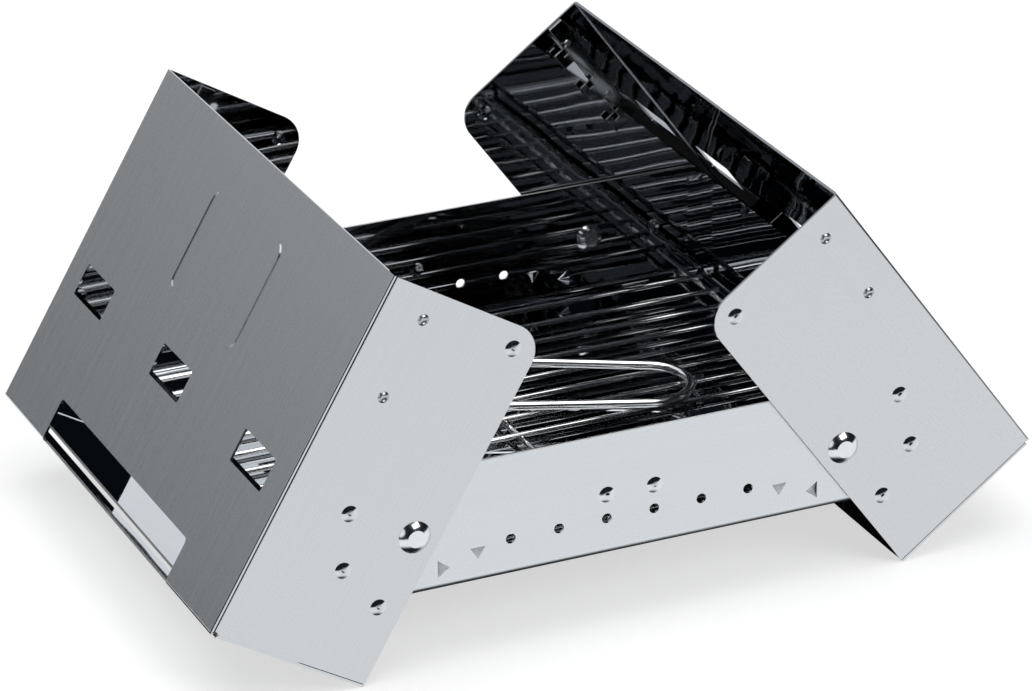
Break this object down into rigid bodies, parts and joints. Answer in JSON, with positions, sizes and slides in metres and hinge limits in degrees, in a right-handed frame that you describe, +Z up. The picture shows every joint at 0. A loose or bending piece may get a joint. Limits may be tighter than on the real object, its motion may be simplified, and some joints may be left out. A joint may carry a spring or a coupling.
{
  "type": "folding tabletop grill",
  "caption": "Flat folding tabletop grill of bent stainless steel sheet: a fire tray hung between two leaning case halves, with a wire grate and a loose wire lifter.",
  "frame": {"origin": "on the table, in the middle of the outline of the grill as it stands open", "axes": "+X from the left wing to the right one, +Y from the front to the back, +Z up from the table"},
  "size_m": [0.3452, 0.2346, 0.1646],
  "materials": {
    "tray_sheet": "stainless sheet, brushed outside and polished inside",
    "wing_sheet": "stainless sheet, brushed outside and polished inside",
    "rivets": "polished stainless rivets",
    "washers": "plain stainless washers",
    "hook_strips": "stamped stainless strip",
    "grate_wire": "bright drawn stainless wire",
    "lifter_wire": "bright drawn stainless wire"
  },
  "bodies": {
    "tray": {"tray": "tray_sheet", "left_front_pivot_rivet": "rivets", "left_front_washer": "washers", "left_rear_pivot_rivet": "rivets", "left_rear_washer": "washers", "right_front_pivot_rivet": "rivets", "right_front_washer": "washers", "right_rear_pivot_rivet": "rivets", "right_rear_washer": "washers"},
    "left_wing": {"left_wing": "wing_sheet", "left_front_hook_strip": "hook_strips", "left_front_strip_rivets": "rivets", "left_rear_hook_strip": "hook_strips", "left_rear_strip_rivets": "rivets"},
    "right_wing": {"right_wing": "wing_sheet", "right_front_hook_strip": "hook_strips", "right_front_strip_rivets": "rivets", "right_rear_hook_strip": "hook_strips", "right_rear_strip_rivets": "rivets"},
    "grate": {"grate_bar_1": "grate_wire", "grate_bar_2": "grate_wire", "grate_bar_3": "grate_wire", "grate_bar_4": "grate_wire", "grate_bar_5": "grate_wire", "grate_bar_6": "grate_wire", "grate_bar_7": "grate_wire", "grate_bar_8": "grate_wire", "grate_bar_9": "grate_wire", "grate_bar_10": "grate_wire", "grate_bar_11": "grate_wire", "grate_bar_12": "grate_wire", "grate_bar_13": "grate_wire", "grate_cross_left": "grate_wire", "grate_cross_middle": "grate_wire", "grate_cross_right": "grate_wire"},
    "lifter": {"grate_lifter": "lifter_wire"}
  },
  "joints": [
    {"name": "left_wing_hinge", "type": "hinge", "parent": "tray", "child": "left_wing", "pos_m": [-0.09073, 0, 0.05774], "axis": [0, 1, 0], "range_deg": [-30.4, 59.6]},
    {"name": "right_wing_hinge", "type": "hinge", "parent": "tray", "child": "right_wing", "pos_m": [0.08926, 0, 0.05569], "axis": [0, -1, 0], "range_deg": [-36.4, 53.6]},
    {"name": "grate_lift", "type": "slide", "parent": "tray", "child": "grate", "axis": [0.0114, 0, 0.9999], "range_m": [0, 0.045]},
    {"name": "lifter_lift", "type": "slide", "parent": "grate", "child": "lifter", "axis": [0.0114, 0, 0.9999], "range_m": [0, 0.02]}
  ]
}
